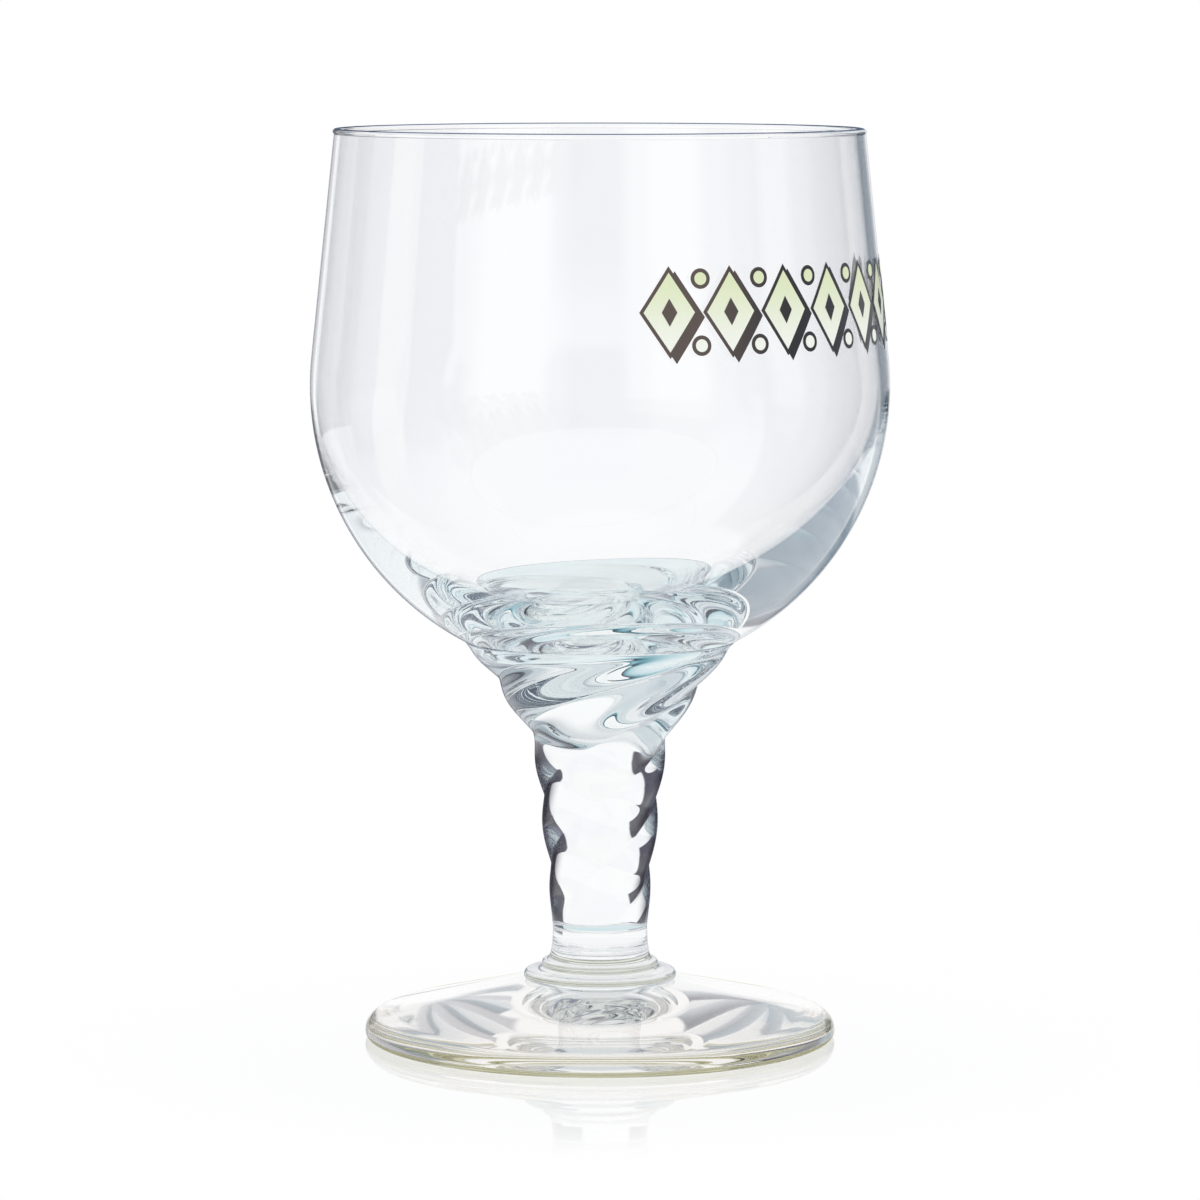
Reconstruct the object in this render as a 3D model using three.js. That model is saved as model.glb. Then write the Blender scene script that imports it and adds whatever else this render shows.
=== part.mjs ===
import * as THREE from "three";

// Beer goblet: a blown bowl on a twisted stem, a stepped merese and a domed foot.
// Millimetres, +Z up, the foot rests on z = 0 and the axis of the goblet is the Z axis.

// heights of the four pieces in the stack, and the hot-joined seam between them
const FOOT_HEIGHT = 9.5;
const MERESE_HEIGHT = 9;
const STEM_LENGTH = 47.36;
const BOWL_HEIGHT = 84.08;
const SEAM = 0.02;

// foot
const FOOT_RADIUS = 38.9;
const FOOT_BOSS_RADIUS = 13;
const FOOT_SHOULDER_RADIUS = 2.7;
const FOOT_HEEL_RADIUS = 1.2;
const REST_RING_WIDTH = 4.6;
const UNDERSIDE_HOLLOW = 1.8;

// merese
const COLLAR_RADIUS = 12.6;
const COLLAR_EDGE_RADIUS = 0.85;
const RING_RADIUS = 9.6;
const RING_HEIGHT = 3.4;
const RING_EDGE_RADIUS = 0.6;

// stem: the neck stands on the merese and the head carries the bowl
const NECK_RADIUS = 7.8;
const SHANK_RADIUS = 11;
const HEAD_HEIGHT = 16.2;
const HEAD_BLEND = 5;
const SEAT_RADIUS = 22.3;
const STRANDS = 4;
const SHANK_GROOVE = 0.8;
const HEAD_GROOVE = 1.6;
const NECK_FADE = 9.5;
const HEAD_FADE = 2.6;
const HEAD_PITCH = 31;
const PITCH_GROWTH = 0.455;
const TWIST_START_DEG = -16;
const STRAND_LEAN = 1.05;
const STRAND_ROUNDING = 1.25;

// bowl
const BELLY_RADIUS = 47.5;
const WALL_TAPER_DEG = 6;
const WALL_THICKNESS = 1.3;
const FLOOR_THICKNESS = 1.5;
const BEAD_WIDTH = 1.6;
const BEAD_HEIGHT = 1.1;

// fineness of the round pieces
const BOWL_SIDES = 60;
const FOOT_SIDES = 60;
const MERESE_SIDES = 48;
const SIDES_PER_STRAND = 12;
const STEM_RINGS = 46;

const { degToRad, smoothstep, mapLinear } = THREE.MathUtils;

const glass = (name, color) => {
  const material = new THREE.MeshStandardMaterial({ color, roughness: 0.05, metalness: 0 });
  material.name = name;
  return material;
};

const bowlGlass = glass("bowl_glass", 0xdfe9ec);
const stemGlass = glass("stem_glass", 0xd9e3e8);
const footGlass = glass("foot_glass", 0xe2e6da);

const arc = (x, y, xRadius, yRadius, from, to) =>
  new THREE.EllipseCurve(x, y, xRadius, yRadius, from, to, to < from);

const bend = (from, corner, to) =>
  new THREE.QuadraticBezierCurve(from, corner, to);

const at = (radius, height) => new THREE.Vector2(radius, height);

// a solid of revolution about Z from an outline traced upwards outside the axis
const turn = (outline, sides) => new THREE.LatheGeometry(outline, sides).rotateX(Math.PI / 2);

const place = (name, geometry, material, height) => {
  const mesh = new THREE.Mesh(geometry, material);
  mesh.name = name;
  mesh.position.z = height;
  return mesh;
};

// domed foot with a hollow underside, a flat rest ring and a flat boss for the merese
function makeFoot() {
  const restOuter = FOOT_RADIUS - FOOT_HEEL_RADIUS;
  const restInner = restOuter - REST_RING_WIDTH;
  const hollow = bend(at(0, UNDERSIDE_HOLLOW), at(restInner / 2, UNDERSIDE_HOLLOW), at(restInner, 0));
  const heel = arc(restOuter, FOOT_HEEL_RADIUS, FOOT_HEEL_RADIUS, FOOT_HEEL_RADIUS, -Math.PI / 2, 0);
  const shoulderAxis = at(FOOT_RADIUS - FOOT_SHOULDER_RADIUS, FOOT_HEEL_RADIUS);
  const toBoss = at(FOOT_BOSS_RADIUS, FOOT_HEIGHT).sub(shoulderAxis);
  // the straight dome leaves the shoulder where the line from the boss edge touches it
  const touch = toBoss.angle() - Math.acos(FOOT_SHOULDER_RADIUS / toBoss.length());
  const shoulder = arc(
    shoulderAxis.x, shoulderAxis.y, FOOT_SHOULDER_RADIUS, FOOT_SHOULDER_RADIUS, 0, touch,
  );
  const outline = [
    ...hollow.getPoints(6),
    ...heel.getPoints(4),
    ...shoulder.getPoints(6).slice(1),
    at(FOOT_BOSS_RADIUS, FOOT_HEIGHT),
    at(0, FOOT_HEIGHT),
  ];
  return turn(outline, FOOT_SIDES);
}

// stepped merese: a rounded collar, a smaller ring and a neck that runs up to the stem
function makeMerese() {
  const edgeAxis = at(COLLAR_RADIUS - COLLAR_EDGE_RADIUS, COLLAR_EDGE_RADIUS);
  const edge = arc(
    edgeAxis.x, edgeAxis.y, COLLAR_EDGE_RADIUS, COLLAR_EDGE_RADIUS, -Math.PI / 2, Math.PI / 2,
  );
  const collarTop = 2 * COLLAR_EDGE_RADIUS;
  const ringAxis = at(RING_RADIUS - RING_EDGE_RADIUS, RING_HEIGHT - RING_EDGE_RADIUS);
  const cove = bend(at(edgeAxis.x, collarTop), at(RING_RADIUS, collarTop), at(RING_RADIUS, ringAxis.y));
  const ring = arc(ringAxis.x, ringAxis.y, RING_EDGE_RADIUS, RING_EDGE_RADIUS, 0, Math.PI / 2);
  const neck = bend(
    at(ringAxis.x, RING_HEIGHT), at(NECK_RADIUS, RING_HEIGHT), at(NECK_RADIUS, MERESE_HEIGHT),
  );
  const outline = [
    at(0, 0),
    ...edge.getPoints(7),
    ...cove.getPoints(4).slice(1),
    ...ring.getPoints(3).slice(1),
    ...neck.getPoints(5).slice(1),
    at(0, MERESE_HEIGHT),
  ];
  return turn(outline, MERESE_SIDES);
}

// turn of the strands at a height: the lead grows from the head down to the neck
const twistAt = (height) => {
  const drop = STEM_LENGTH - height;
  const turned = (2 * Math.PI / PITCH_GROWTH) * Math.log(1 + PITCH_GROWTH * drop / HEAD_PITCH);
  return degToRad(TWIST_START_DEG) - turned;
};

// depth of the creases between the strands, which run out into the neck and the seat
const grooveAt = (radius, height) => {
  const full = mapLinear(radius, NECK_RADIUS, SEAT_RADIUS, SHANK_GROOVE, HEAD_GROOVE);
  const fromNeck = smoothstep(height, 0, NECK_FADE);
  const fromSeat = smoothstep(STEM_LENGTH - height, 0, HEAD_FADE);
  return full * fromNeck * fromSeat;
};

// one strand from crease to crease, fuller on its lower side
const strandSwell = (across) => Math.sin(Math.PI * across ** STRAND_LEAN) ** STRAND_ROUNDING;

// wrings a plain turned stem, whose points run up one side after another, into round strands
function wring(geometry, pointsPerSide) {
  const position = geometry.attributes.position;
  for (let i = 0; i < position.count; i += 1) {
    const side = Math.floor(i / pointsPerSide);
    const across = (side % SIDES_PER_STRAND) / SIDES_PER_STRAND;
    const height = position.getZ(i);
    const radius = Math.hypot(position.getX(i), position.getY(i));
    const creased = radius - grooveAt(radius, height) * (1 - strandSwell(across));
    const angle = 2 * Math.PI * side / (STRANDS * SIDES_PER_STRAND) + twistAt(height);
    position.setXY(i, creased * Math.sin(angle), -creased * Math.cos(angle));
  }
  return geometry;
}

// stem: a tapering shank that opens into a conical head, wrung into strands
function makeStem() {
  const shankTop = STEM_LENGTH - HEAD_HEIGHT;
  const corner = at(SHANK_RADIUS, shankTop);
  const foot = at(NECK_RADIUS, 0);
  const seat = at(SEAT_RADIUS, STEM_LENGTH);
  const below = corner.clone().lerp(foot, HEAD_BLEND / corner.distanceTo(foot));
  const above = corner.clone().lerp(seat, HEAD_BLEND / corner.distanceTo(seat));
  const side = new THREE.CurvePath();
  side.add(new THREE.LineCurve(foot, below));
  side.add(bend(below, corner, above));
  side.add(new THREE.LineCurve(above, seat));
  const outline = [at(0, 0), ...side.getSpacedPoints(STEM_RINGS), at(0, STEM_LENGTH)];
  return wring(turn(outline, STRANDS * SIDES_PER_STRAND), outline.length);
}

// round bowl with a tapering wall, a fire-polished bead and a cavity that leaves a thin floor
function makeBowl() {
  const taper = degToRad(WALL_TAPER_DEG);
  const bellyHeight = Math.sqrt(BELLY_RADIUS ** 2 - SEAT_RADIUS ** 2);
  const bellyFoot = -Math.asin(bellyHeight / BELLY_RADIUS);
  const belly = arc(0, bellyHeight, BELLY_RADIUS, BELLY_RADIUS, bellyFoot, taper);
  const wallFoot = at(BELLY_RADIUS * Math.cos(taper), bellyHeight + BELLY_RADIUS * Math.sin(taper));
  const beadHeight = BOWL_HEIGHT - BEAD_HEIGHT / 2;
  const rimRadius = wallFoot.x - (beadHeight - wallFoot.y) * Math.tan(taper);
  const beadOpen = Math.acos(WALL_THICKNESS / BEAD_WIDTH);
  const bead = arc(
    rimRadius - WALL_THICKNESS / 2, beadHeight, BEAD_WIDTH / 2, BEAD_HEIGHT / 2,
    -beadOpen, Math.PI + beadOpen,
  );
  const cavityRadius = BELLY_RADIUS - WALL_THICKNESS;
  const cavityDepth = bellyHeight - FLOOR_THICKNESS;
  const cavityTop = Math.atan(Math.tan(taper) * cavityDepth / cavityRadius);
  const cavity = arc(0, bellyHeight, cavityRadius, cavityDepth, cavityTop, -Math.PI / 2);
  const outline = [
    at(0, 0),
    ...belly.getPoints(16),
    ...bead.getPoints(9),
    ...cavity.getPoints(15).slice(0, -1),
    at(0, FLOOR_THICKNESS),
  ];
  return turn(outline, BOWL_SIDES);
}

const mereseHeight = FOOT_HEIGHT + SEAM;
const stemHeight = mereseHeight + MERESE_HEIGHT + SEAM;
const bowlHeight = stemHeight + STEM_LENGTH + SEAM;

const goblet = new THREE.Group();
goblet.name = "beer_goblet";
goblet.add(place("foot", makeFoot(), footGlass, 0));
goblet.add(place("merese", makeMerese(), stemGlass, mereseHeight));
goblet.add(place("twisted_stem", makeStem(), stemGlass, stemHeight));
goblet.add(place("bowl", makeBowl(), bowlGlass, bowlHeight));

export default goblet;
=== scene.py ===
"""Looks of a clear glass beer goblet with a twisted stem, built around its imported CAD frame."""

import math

import bpy
import numpy as np
from bpy.props import FloatProperty, FloatVectorProperty, IntProperty, PointerProperty
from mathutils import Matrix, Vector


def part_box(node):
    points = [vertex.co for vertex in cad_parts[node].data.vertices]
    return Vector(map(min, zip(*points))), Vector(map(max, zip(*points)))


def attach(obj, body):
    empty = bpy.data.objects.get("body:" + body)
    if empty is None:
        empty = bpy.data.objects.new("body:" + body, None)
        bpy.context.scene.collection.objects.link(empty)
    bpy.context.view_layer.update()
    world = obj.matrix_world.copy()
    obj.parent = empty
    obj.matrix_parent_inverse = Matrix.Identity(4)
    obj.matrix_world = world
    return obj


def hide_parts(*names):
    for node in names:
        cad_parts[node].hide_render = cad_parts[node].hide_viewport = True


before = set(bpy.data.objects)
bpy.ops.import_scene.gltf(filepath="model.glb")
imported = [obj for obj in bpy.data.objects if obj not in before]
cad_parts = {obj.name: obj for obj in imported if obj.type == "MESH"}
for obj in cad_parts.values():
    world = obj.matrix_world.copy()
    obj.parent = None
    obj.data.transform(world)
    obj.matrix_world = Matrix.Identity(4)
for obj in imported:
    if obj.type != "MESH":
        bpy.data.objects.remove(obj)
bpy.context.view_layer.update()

bl_info = {
    "name": "Beer goblet",
    "version": (1, 0, 0),
    "blender": (4, 5, 0),
    "location": "3D View > Sidebar > Goblet",
    "description": "Builds the glass pieces, the enamel print and the stage of a beer goblet",
    "category": "Object",
}

MM = 0.001
BODY = "root"
JOINT = "joint"
# Face mark for the painted edge shade on the glass.
EDGE = "edge"
PICTURE_WIDTH = 1200
SENSOR_WIDTH = 36.0
WHITE = (1.0, 1.0, 1.0)
GLASS_IOR = 1.52
# Slant at which the painted edge shade is full; then the slants and the softness of the painted shade on
# the shank's sides.
FULL_SLANT = 0.98
SIDE_SHADE_SLANT = (0.3, 0.7)
SIDE_SHADE_SOFTNESS = 2 * MM

FOOT_LOW, FOOT_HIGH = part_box("foot")
MERESE_LOW, MERESE_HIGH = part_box("merese")
STEM_LOW, STEM_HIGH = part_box("twisted_stem")
BOWL_LOW, BOWL_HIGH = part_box("bowl")


def length(name, description, millimetres):
    """A size in metres that a user may change."""
    return FloatProperty(
        name=name, description=description, default=millimetres * MM,
        precision=5, subtype="DISTANCE", unit="LENGTH",
    )


def angle(name, description, degrees):
    """An angle in radians that a user may change."""
    return FloatProperty(
        name=name, description=description, default=math.radians(degrees),
        subtype="ANGLE", unit="ROTATION",
    )


def number(name, description, value):
    """A plain number that a user may change."""
    return FloatProperty(name=name, description=description, default=value, precision=3)


def count(name, description, value):
    """A whole number that a user may change."""
    return IntProperty(name=name, description=description, default=value)


def colour(name, description, rgb):
    """A colour that a user may change."""
    return FloatVectorProperty(
        name=name, description=description, default=rgb, size=3,
        min=0.0, max=1.0, subtype="COLOR",
    )


class GobletFootSizes(bpy.types.PropertyGroup):
    """Sizes of the foot and of the merese on it."""

    radius: length(
        "Foot radius", "Radius of the foot's edge", (FOOT_HIGH[0] - FOOT_LOW[0]) / 2 / MM,
    )
    boss: length("Boss radius", "Flat boss that the merese stands on", 13.0)
    shoulder: length("Shoulder radius", "Rounding between the dome and the edge", 2.7)
    heel: length("Heel radius", "Rounding below the edge", 1.2)
    rest: length("Rest ring", "Width of the flat ring that stands on the table", 4.6)
    hollow: length("Hollow", "Height of the hollow underside at its middle", 1.8)
    collar: length("Collar radius", "Radius of the merese's collar", 12.6)
    collar_edge: length("Collar edge", "Rounding of the collar's rim", 0.85)
    ring: length("Ring radius", "Radius of the smaller ring above the collar", 9.6)
    ring_height: length("Ring height", "Height of the ring's top above the collar's base", 3.4)
    ring_edge: length("Ring edge", "Rounding of the ring", 0.6)
    sides: count("Sides", "Faces around the foot and the merese", 256)


class GobletStemSizes(bpy.types.PropertyGroup):
    """Sizes of the twisted stem."""

    neck: length("Neck radius", "Radius where the stem meets the merese", 7.8)
    shank: length("Shank radius", "Radius where the shank meets the head", 11.0)
    head: length("Head height", "Height of the conical head under the bowl", 16.2)
    blend: length("Head blend", "Softness of the corner between shank and head", 0.6)
    shank_groove: length("Shank crease", "Depth of the creases at the neck's radius", 0.8)
    head_groove: length("Head crease", "Depth of the creases at the seat's radius", 1.6)
    neck_fade: length("Neck fade", "Height over which the creases run out into the neck", 9.5)
    head_fade: length("Head fade", "Height over which the creases run out into the seat", 2.6)
    head_pitch: length("Head lead", "Height of one full turn of a strand at the seat", 31.0)
    growth: number("Lead growth", "Growth of the lead per length down the stem", 0.455)
    start: angle("Twist start", "Angle of the first crease at the seat, from the front", -16)
    lean: number("Strand lean", "Above 1 a strand is fuller on its lower side", 1.05)
    rounding: number("Strand rounding", "Above 1 the creases are softer", 1.25)
    strands: count("Strands", "Strands that the stem is wrung from", 4)
    sides: count("Sides", "Faces around the stem", 240)
    rings: count("Rings", "Faces along the stem", 300)


class GobletBowlSizes(bpy.types.PropertyGroup):
    """Sizes of the bowl."""

    belly: length("Belly radius", "Radius of the round lower bowl", 47.5)
    seat: length(
        "Seat radius", "Radius of the joint with the stem", (STEM_HIGH[0] - STEM_LOW[0]) / 2 / MM,
    )
    wall: length("Wall", "Thickness of the wall", 1.3)
    floor: length("Floor", "Thickness of the glass under the cavity", 1.5)
    bead_width: length("Bead width", "Thickness of the fire-polished rim", 1.6)
    bead_height: length("Bead height", "Height of the fire-polished rim", 1.1)
    offset: length("Cavity offset", "Sideways shift of the cavity at the rim", 0.4)
    drift: length("Cavity drift", "Sideways shift of the cavity's bottom", 2.2)
    taper: angle("Wall taper", "Inward lean of the upper wall", 6)
    sides: count("Sides", "Faces around the bowl", 256)


class GobletPrintSizes(bpy.types.PropertyGroup):
    """Sizes of the enamel frieze on the bowl."""

    lozenges: count("Lozenges", "Lozenges in the frieze", 8)
    start: angle("Start", "Angle of the first lozenge from the front, to the right", 13.5)
    pitch: length("Pitch", "Distance between lozenges along the wall", 10.3)
    middle: length("Middle", "Height of the frieze's middle above the table", 122.3)
    width: length("Lozenge width", "Width of a lozenge with its outline", 9.6)
    height: length("Lozenge height", "Height of a lozenge with its outline", 14.4)
    outline: length("Outline", "Width of the dark outline at the lozenge's points", 1.5)
    shift: length("Shadow shift", "Shift of the shadow to the right", 1.0)
    drop: length("Shadow drop", "Shift of the shadow down", 0.8)
    pip: length("Pip", "Diameter of the discs between the lozenges", 3.2)
    pip_rise: length("Pip rise", "Height of a disc above or below the frieze's middle", 5.2)
    film: length("Film", "Thickness of one layer of enamel", 0.03)
    # Where the painted light on the dark enamel starts to fade, and from where the enamel is black.
    brown_end: length("Brown end", "Distance to the right at which the brown starts to darken", 14.0)
    dark_start: length("Dark start", "Distance to the right from which the enamel is dark", 32.0)


class GobletColours(bpy.types.PropertyGroup):
    """Colours of the glass and of the enamel, among them painted shade on the glass and painted light on
    the print.
    """

    bowl_tint: colour("Bowl tint", "Colour that deep bowl glass takes on", (0.30, 0.62, 0.68))
    bowl_depth: number("Bowl depth", "Strength of the bowl's tint", 0.9)
    # Painted shade: the dark blue-grey of the bowl's outline and rim lines, put on as a glass colour.
    bowl_edge_shade: colour("Bowl edge", "Colour of the rim and of the outline", (0.14, 0.19, 0.29))
    stem_tint: colour("Stem tint", "Colour that deep stem glass takes on", (0.30, 0.62, 0.68))
    stem_depth: number("Stem depth", "Strength of the stem's tint", 2.0)
    # Painted shade: the grey outline of the stem and the merese, put on as a glass colour.
    stem_edge_shade: colour("Stem edge", "Colour of the stem's outline", (0.68, 0.69, 0.74))
    # Painted shade: the dark bands on the shank's sides, put on as a glass colour.
    stem_side_shade: colour("Stem side", "Colour of the shank's sides", (0.17, 0.165, 0.20))
    foot_tint: colour("Foot tint", "Colour that deep foot glass takes on", (0.82, 0.70, 0.55))
    foot_depth: number("Foot depth", "Strength of the foot's tint", 3.0)
    # The heel's olive line: the glass's own olive tint at its edge, darkened by painted shade.
    foot_edge_shade: colour("Foot edge", "Colour of the heel", (0.68, 0.68, 0.53))
    dark_enamel: colour("Dark enamel", "Outline and shadow of the print", (0.010, 0.008, 0.008))
    # The brown at the left of the print's dark enamel is painted light; further right it is black.
    painted_lit_enamel: colour(
        "Brown enamel", "Outline and shadow where the film is thin", (0.085, 0.060, 0.050),
    )
    pale_enamel: colour("Pale enamel", "Upper fill of the print", (0.72, 0.80, 0.50))
    white_enamel: colour("White enamel", "Lower fill of the print", (0.90, 0.93, 0.86))


class Wire:
    """A socket in a node tree: arithmetic on it adds Math nodes, and node() adds any other node."""

    def __init__(self, tree, socket=None):
        self.tree = tree
        self.socket = socket

    def node(self, kind, settings=None, inputs=None, output=0):
        """Adds a node, makes its settings, fills its inputs by name or number and returns one output."""
        node = self.tree.nodes.new(kind)
        for key, value in (settings or {}).items():
            setattr(node, key, value)
        for key, value in (inputs or {}).items():
            if isinstance(value, Wire):
                self.tree.links.new(value.socket, node.inputs[key])
            else:
                node.inputs[key].default_value = value
        return Wire(self.tree, node.outputs[output]) if node.outputs else self

    def math(self, operation, *values):
        """A Math node of that operation on these values."""
        return self.node("ShaderNodeMath", {"operation": operation}, dict(enumerate(values)))

    def __add__(self, other):
        return self.math("ADD", self, other)

    def __radd__(self, other):
        return self.math("ADD", other, self)

    def __sub__(self, other):
        return self.math("SUBTRACT", self, other)

    def __rsub__(self, other):
        return self.math("SUBTRACT", other, self)

    def __mul__(self, other):
        return self.math("MULTIPLY", self, other)

    def __rmul__(self, other):
        return self.math("MULTIPLY", other, self)

    def __truediv__(self, other):
        return self.math("DIVIDE", self, other)

    def __rtruediv__(self, other):
        return self.math("DIVIDE", other, self)

    def __pow__(self, other):
        return self.math("POWER", self, other)

    def __neg__(self):
        return self.math("MULTIPLY", self, -1.0)


def shader_tree(name):
    """An empty material and the start of its tree."""
    material = bpy.data.materials.new(name)
    material.use_nodes = True
    material.node_tree.nodes.clear()
    return material, Wire(material.node_tree)


def soft_step(net, value, low, high):
    """0 below low and 1 above high."""
    return net.node("ShaderNodeMapRange", {"interpolation_type": "SMOOTHSTEP"}, {
        "Value": value, "From Min": low, "From Max": high,
    })


def blend(net, factor, first, second):
    """A mix of two colours, each a triple or a wire."""
    pair = [value if isinstance(value, Wire) else (*value, 1.0) for value in (first, second)]
    return net.node("ShaderNodeMix", {"data_type": "RGBA"}, {0: factor, 6: pair[0], 7: pair[1]}, 2)


def between(net, value, low, high, soft):
    """1 from low to high and 0 outside, with soft edges."""
    over = soft_step(net, value, low - soft, low + soft)
    return over * soft_step(net, value, high + soft, high - soft)


def shade_glass(net, rgb):
    """Glass that colours what passes its surface, used to paint shade on the glass."""
    return net.node("ShaderNodeBsdfGlass", None, {
        "Color": (*rgb, 1.0), "Roughness": 0.0, "IOR": GLASS_IOR,
    })


def make_glass(name, tint, depth, edge, slant_from, sheer=1.0, shank=None, side=None):
    """Clear glass that takes on its tint with depth, and painted shade in its edge colour where it is
    seen at a slant.

    sheer is the most of the painted edge shade that a slant gives, and faces marked as edges have all of
    it.
    shank is a span of heights whose sides have painted shade in the side colour. The faces inside a weld
    aren't seen.
    """
    material, net = shader_tree(name)
    clear = net.node("ShaderNodeBsdfPrincipled", None, {
        "Base Color": (*WHITE, 1.0),
        "Roughness": 0.0,
        "IOR": GLASS_IOR,
        "Transmission Weight": 1.0,
    })
    # painted shade: the edge colour comes in where the glass is seen at a slant
    slant = net.node("ShaderNodeLayerWeight", None, {"Blend": 0.5}, "Facing")
    marked = net.node("ShaderNodeAttribute", {"attribute_name": EDGE}, None, "Fac")
    edge_shade = net.math("MAXIMUM", sheer * soft_step(net, slant, slant_from, FULL_SLANT), marked)
    body = net.node("ShaderNodeMixShader", None, {0: edge_shade, 1: clear, 2: shade_glass(net, edge)})
    # painted shade: dark bands on the front of the shank's sides, where it is seen at a slant
    if shank:
        place = net.node("ShaderNodeTexCoord", None, None, "Object")
        height = net.node("ShaderNodeSeparateXYZ", None, {0: place}, "Z")
        inside = net.node("ShaderNodeNewGeometry", None, None, "Backfacing")
        sides = between(net, height, *shank, SIDE_SHADE_SOFTNESS) * soft_step(net, slant, *SIDE_SHADE_SLANT)
        sides = sides * (1.0 - inside)
        body = net.node("ShaderNodeMixShader", None, {0: sides, 1: body, 2: shade_glass(net, side)})
    joint = net.node("ShaderNodeAttribute", {"attribute_name": JOINT}, None, "Fac")
    unseen = net.node("ShaderNodeBsdfTransparent")
    surface = net.node("ShaderNodeMixShader", None, {0: joint, 1: body, 2: unseen})
    volume = net.node("ShaderNodeVolumeAbsorption", None, {"Color": (*tint, 1.0), "Density": depth})
    net.node("ShaderNodeOutputMaterial", None, {"Surface": surface, "Volume": volume})
    return material


def line(start, end, steps):
    """Points on a straight line, the first left out."""
    return [
        (start[0] + (end[0] - start[0]) * i / steps, start[1] + (end[1] - start[1]) * i / steps)
        for i in range(1, steps + 1)
    ]


def arc(centre, x_radius, z_radius, begin, end, steps):
    """Points on an arc of an ellipse, both ends included."""
    angles = np.linspace(begin, end, steps + 1)
    return [(centre[0] + x_radius * math.cos(a), centre[1] + z_radius * math.sin(a)) for a in angles]


def bend(start, corner, end, steps):
    """Points on a curve that leaves start and reaches end towards the corner, the first left out."""
    points = []
    for i in range(1, steps + 1):
        t = i / steps
        weights = ((1 - t) ** 2, 2 * t * (1 - t), t * t)
        points.append(tuple(
            weights[0] * start[k] + weights[1] * corner[k] + weights[2] * end[k] for k in range(2)
        ))
    return points


def turned_mesh(name, outline, sides, joints, edges=()):
    """A closed mesh turned about Z from an outline that runs anticlockwise from axis to axis.

    joints holds the numbers of the outline's stretches that lie inside a weld, and edges those that
    show the painted edge shade from everywhere.
    """
    outline = np.array(outline)
    angles = 2 * math.pi * np.arange(sides) / sides
    around = np.stack([np.sin(angles), -np.cos(angles)], axis=1)
    points, rings = [], []
    for radius, height in outline:
        first = sum(len(p) for p in points)
        if radius < 1e-9:
            points.append(np.array([[0.0, 0.0, height]]))
            rings.append([first] * sides)
        else:
            points.append(np.column_stack([around * radius, np.full(sides, height)]))
            rings.append(list(range(first, first + sides)))
    faces, welded, edged = [], [], []
    for stretch, (low, high) in enumerate(zip(rings, rings[1:])):
        for i in range(sides):
            j = (i + 1) % sides
            corners = list(dict.fromkeys((low[i], low[j], high[j], high[i])))
            faces.append(corners)
            welded.append(stretch in joints)
            edged.append(stretch in edges)
    mesh = bpy.data.meshes.new(name)
    mesh.from_pydata(np.concatenate(points).tolist(), [], faces)
    for label, values in ((JOINT, welded), (EDGE, edged)):
        marks = mesh.attributes.new(label, "FLOAT", "FACE")
        marks.data.foreach_set("value", np.array(values, dtype=np.float32))
    mesh.polygons.foreach_set("use_smooth", [not weld for weld in welded])
    mesh.update()
    return mesh


def show(name, mesh):
    """Links a mesh to the scene as a piece at the origin."""
    piece = bpy.data.objects.new(name, mesh)
    bpy.context.scene.collection.objects.link(piece)
    return piece


def fix(piece, slot, *nodes):
    """Lets a finished piece ride on the goblet and stand for its CAD nodes."""
    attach(piece, BODY)
    if nodes:
        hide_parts(*nodes)


def geometry_tree(name, inputs):
    """A Geometry Nodes tree with named inputs: returns its start, its inputs and their identifiers."""
    tree = bpy.data.node_groups.new(name, "GeometryNodeTree")
    identifiers = {}
    for label, kind in inputs.items():
        item = tree.interface.new_socket(label, in_out="INPUT", socket_type=kind)
        identifiers[label] = item.identifier
    tree.interface.new_socket("Geometry", in_out="OUTPUT", socket_type="NodeSocketGeometry")
    net = Wire(tree)
    entry = tree.nodes.new("NodeGroupInput")
    given = {label: Wire(tree, entry.outputs[label]) for label in inputs}
    return net, given, identifiers


def grow(name, net, identifiers, values):
    """Runs a Geometry Nodes tree and keeps what it makes as a plain mesh on a new piece."""
    piece = show(name, bpy.data.meshes.new(name))
    modifier = piece.modifiers.new("Grow", "NODES")
    modifier.node_group = net.tree
    for label, value in values.items():
        modifier[identifiers[label]] = value
    grown = piece.evaluated_get(bpy.context.evaluated_depsgraph_get())
    mesh = bpy.data.meshes.new_from_object(grown)
    mesh.name = name
    piece.modifiers.remove(modifier)
    piece.data = mesh
    if not mesh.polygons:
        raise RuntimeError(f"{name} came out empty")
    return piece


def place_parts(net):
    """The coordinates of each point of a geometry."""
    place = net.node("GeometryNodeInputPosition")
    split = net.node("ShaderNodeSeparateXYZ", None, {0: place}).socket.node.outputs
    return [Wire(net.tree, split[k]) for k in range(3)]


STEM_INPUTS = {
    "Base": "NodeSocketFloat",
    "Length": "NodeSocketFloat",
    "Neck Radius": "NodeSocketFloat",
    "Shank Radius": "NodeSocketFloat",
    "Seat Radius": "NodeSocketFloat",
    "Head Height": "NodeSocketFloat",
    "Head Blend": "NodeSocketFloat",
    "Shank Crease": "NodeSocketFloat",
    "Head Crease": "NodeSocketFloat",
    "Neck Fade": "NodeSocketFloat",
    "Head Fade": "NodeSocketFloat",
    "Head Lead": "NodeSocketFloat",
    "Lead Growth": "NodeSocketFloat",
    "Twist Start": "NodeSocketFloat",
    "Strand Lean": "NodeSocketFloat",
    "Strand Rounding": "NodeSocketFloat",
    "Strands": "NodeSocketInt",
    "Sides": "NodeSocketInt",
    "Rings": "NodeSocketInt",
    "Glass": "NodeSocketMaterial",
}


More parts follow.
